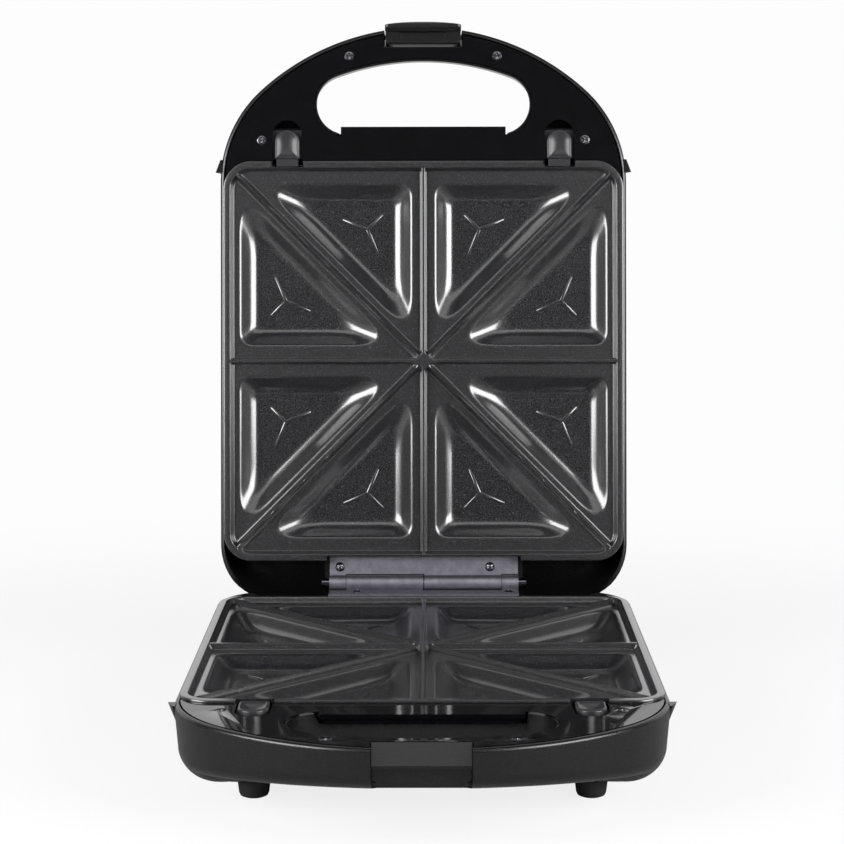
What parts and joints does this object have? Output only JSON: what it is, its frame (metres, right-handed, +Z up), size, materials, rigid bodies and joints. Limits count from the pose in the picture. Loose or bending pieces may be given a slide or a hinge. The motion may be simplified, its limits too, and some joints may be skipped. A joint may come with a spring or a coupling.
{
  "type": "sandwich toaster",
  "caption": "Sandwich toaster with ribbed triangular-pocket plates in hinged housings, a looped carrying handle, a handle latch and sliding plate releases, shown open.",
  "frame": {"origin": "middle of the bounding box at the level of the feet, lid open", "axes": "+Z up, the handle and latch at -Y, the hinge at +Y, X along the hinge"},
  "size_m": [0.26, 0.4161, 0.4096],
  "materials": {
    "shell": "fine satin texture",
    "frame": "polished",
    "coating": "grey speckled non-stick coating on die-cast aluminium",
    "reflector": "aluminised sheet",
    "sheath": "oxidised element sheath",
    "steel": "plated",
    "hinge": "bare steel sheet",
    "screw": "black oxide",
    "button": "moulded grey",
    "rubber": "matt",
    "white_plastic": "heat resistant moulding",
    "lens_red": "clear tinted",
    "lens_green": "clear tinted"
  },
  "bodies": {
    "base": {"base_shell": "shell", "base_frame": "frame", "lower_plate": "coating", "lower_reflector": "reflector", "lower_element": "sheath", "lower_thermostat": "steel", "thermal_fuse": "steel", "terminal_block": "white_plastic", "cord_gland": "rubber", "foot_front_left": "rubber", "foot_front_right": "rubber", "foot_rear_left": "rubber", "foot_rear_right": "rubber", "base_frame_screws": "screw", "base_reflector_screws": "steel", "hinge_leaf_lower": "hinge", "hinge_pin": "hinge", "hinge_screws_lower": "screw", "base_release_spring_left": "steel", "base_release_spring_right": "steel"},
    "lid": {"lid_shell": "shell", "lid_frame": "frame", "upper_plate": "coating", "upper_reflector": "reflector", "upper_element": "sheath", "upper_thermostat": "steel", "lid_frame_screws": "screw", "lid_reflector_screws": "steel", "hinge_leaf_upper": "hinge", "hinge_screws_upper": "screw", "lid_release_spring_left": "steel", "lid_release_spring_right": "steel", "latch_pin": "steel", "latch_spring": "steel", "power_lens": "lens_red", "ready_lens": "lens_green", "lamp_holder": "white_plastic"},
    "latch": {"latch": "shell"},
    "base_release_left": {"base_release_left": "button"},
    "base_release_right": {"base_release_right": "button"},
    "lid_release_left": {"lid_release_left": "button"},
    "lid_release_right": {"lid_release_right": "button"}
  },
  "joints": [
    {"name": "lid_hinge", "type": "hinge", "parent": "base", "child": "lid", "pos_m": [0, 0.13905, 0.0624], "axis": [1, 0, 0], "range_deg": [0, 98]},
    {"name": "latch_pivot", "type": "hinge", "parent": "lid", "child": "latch", "pos_m": [0, 0.19127, 0.40093], "axis": [1, 0, 0], "range_deg": [0, 6], "stiffness_Nm_per_rad": 0.05},
    {"name": "base_release_left_press", "type": "slide", "parent": "base", "child": "base_release_left", "axis": [0, -1, 0], "range_m": [0, 0.005], "stiffness_N_per_m": 20, "springref_m": -0.002, "deforming": ["base_release_spring_left"]},
    {"name": "base_release_right_press", "type": "slide", "parent": "base", "child": "base_release_right", "axis": [0, -1, 0], "range_m": [0, 0.005], "stiffness_N_per_m": 20, "springref_m": -0.002, "deforming": ["base_release_spring_right"]},
    {"name": "lid_release_left_press", "type": "slide", "parent": "lid", "child": "lid_release_left", "axis": [0, 0.1392, 0.9903], "range_m": [0, 0.005], "stiffness_N_per_m": 20, "springref_m": -0.002, "deforming": ["lid_release_spring_left"]},
    {"name": "lid_release_right_press", "type": "slide", "parent": "lid", "child": "lid_release_right", "axis": [0, 0.1392, 0.9903], "range_m": [0, 0.005], "stiffness_N_per_m": 20, "springref_m": -0.002, "deforming": ["lid_release_spring_right"]}
  ]
}
